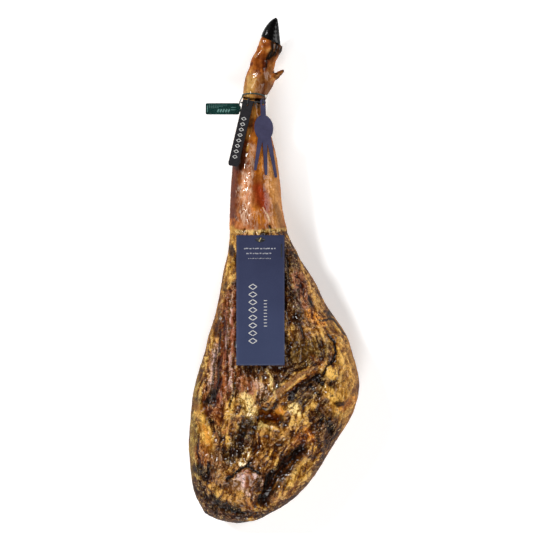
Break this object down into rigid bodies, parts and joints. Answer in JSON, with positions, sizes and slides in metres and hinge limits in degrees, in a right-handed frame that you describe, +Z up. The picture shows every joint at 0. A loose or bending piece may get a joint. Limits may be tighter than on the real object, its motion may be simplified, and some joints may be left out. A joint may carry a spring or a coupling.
{
  "type": "whole cured ham with hoof",
  "caption": "Whole bone-in cured ham with black hoof, lying rind side down, with tags and a plastic seal tied at the ankle and a folded card label on its face.",
  "frame": {"origin": "on the floor, under the middle of the whole object's bounding box", "axes": "+Z up out of the cut face, +Y along the ham towards the hoof, +X towards the bulge of the haunch"},
  "size_m": [0.281, 0.8302, 0.1272],
  "materials": {
    "cured_ham": "greasy cured skin, fat and dried flesh",
    "black_horn": "semi-gloss black horn",
    "black_cord": "waxed black cord",
    "green_plastic": "glossy dark green plastic",
    "white_plastic": "white plastic",
    "charcoal_leather": "matt charcoal leather",
    "blue_board": "matt slate blue board",
    "navy_card": "satin navy card",
    "black_eyelet": "matt black",
    "pin_metal": "dull brass"
  },
  "bodies": {
    "root": {"ham": "cured_ham", "claw_upper": "black_horn", "claw_lower": "black_horn", "cord": "black_cord", "seal": "green_plastic", "seal_clasp": "white_plastic", "leather_tag": "charcoal_leather", "tail_tag": "blue_board", "label": "navy_card", "label_eyelet": "black_eyelet", "label_pin": "pin_metal"}
  },
  "joints": []
}
